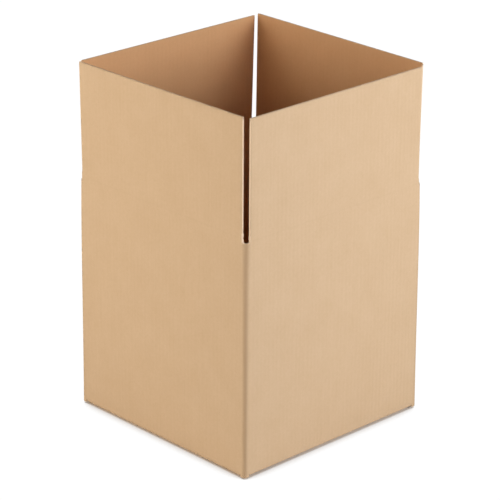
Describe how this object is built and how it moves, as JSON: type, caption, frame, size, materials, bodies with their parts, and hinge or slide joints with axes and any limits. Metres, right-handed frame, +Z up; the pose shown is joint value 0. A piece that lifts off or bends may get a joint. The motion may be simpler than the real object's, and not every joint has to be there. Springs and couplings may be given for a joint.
{
  "type": "open slotted cardboard shipping box",
  "caption": "Cube-shaped corrugated shipping box, erected with its bottom closed and its top flaps standing open on their creases.",
  "frame": {"origin": "middle of the underside of the closed bottom", "axes": "+Z up, +X through the right wall, -Y through the front wall"},
  "size_m": [0.3636, 0.3636, 0.5532],
  "materials": {
    "kraft_board": "plain unbleached kraft liner, matt"
  },
  "bodies": {
    "box_body": {"box_body": "kraft_board"},
    "front_flap": {"front_flap": "kraft_board"},
    "back_flap": {"back_flap": "kraft_board"},
    "left_flap": {"left_flap": "kraft_board"},
    "right_flap": {"right_flap": "kraft_board"}
  },
  "joints": [
    {"name": "front_flap_crease", "type": "hinge", "parent": "box_body", "child": "front_flap", "pos_m": [0, -0.1818, 0.3744], "axis": [-1, 0, 0], "range_deg": [-175, 90]},
    {"name": "back_flap_crease", "type": "hinge", "parent": "box_body", "child": "back_flap", "pos_m": [0, 0.1818, 0.3744], "axis": [1, 0, 0], "range_deg": [-175, 90]},
    {"name": "left_flap_crease", "type": "hinge", "parent": "box_body", "child": "left_flap", "pos_m": [-0.1818, 0, 0.37], "axis": [0, 1, 0], "range_deg": [-175, 90]},
    {"name": "right_flap_crease", "type": "hinge", "parent": "box_body", "child": "right_flap", "pos_m": [0.1818, 0, 0.37], "axis": [0, -1, 0], "range_deg": [-175, 90]}
  ]
}
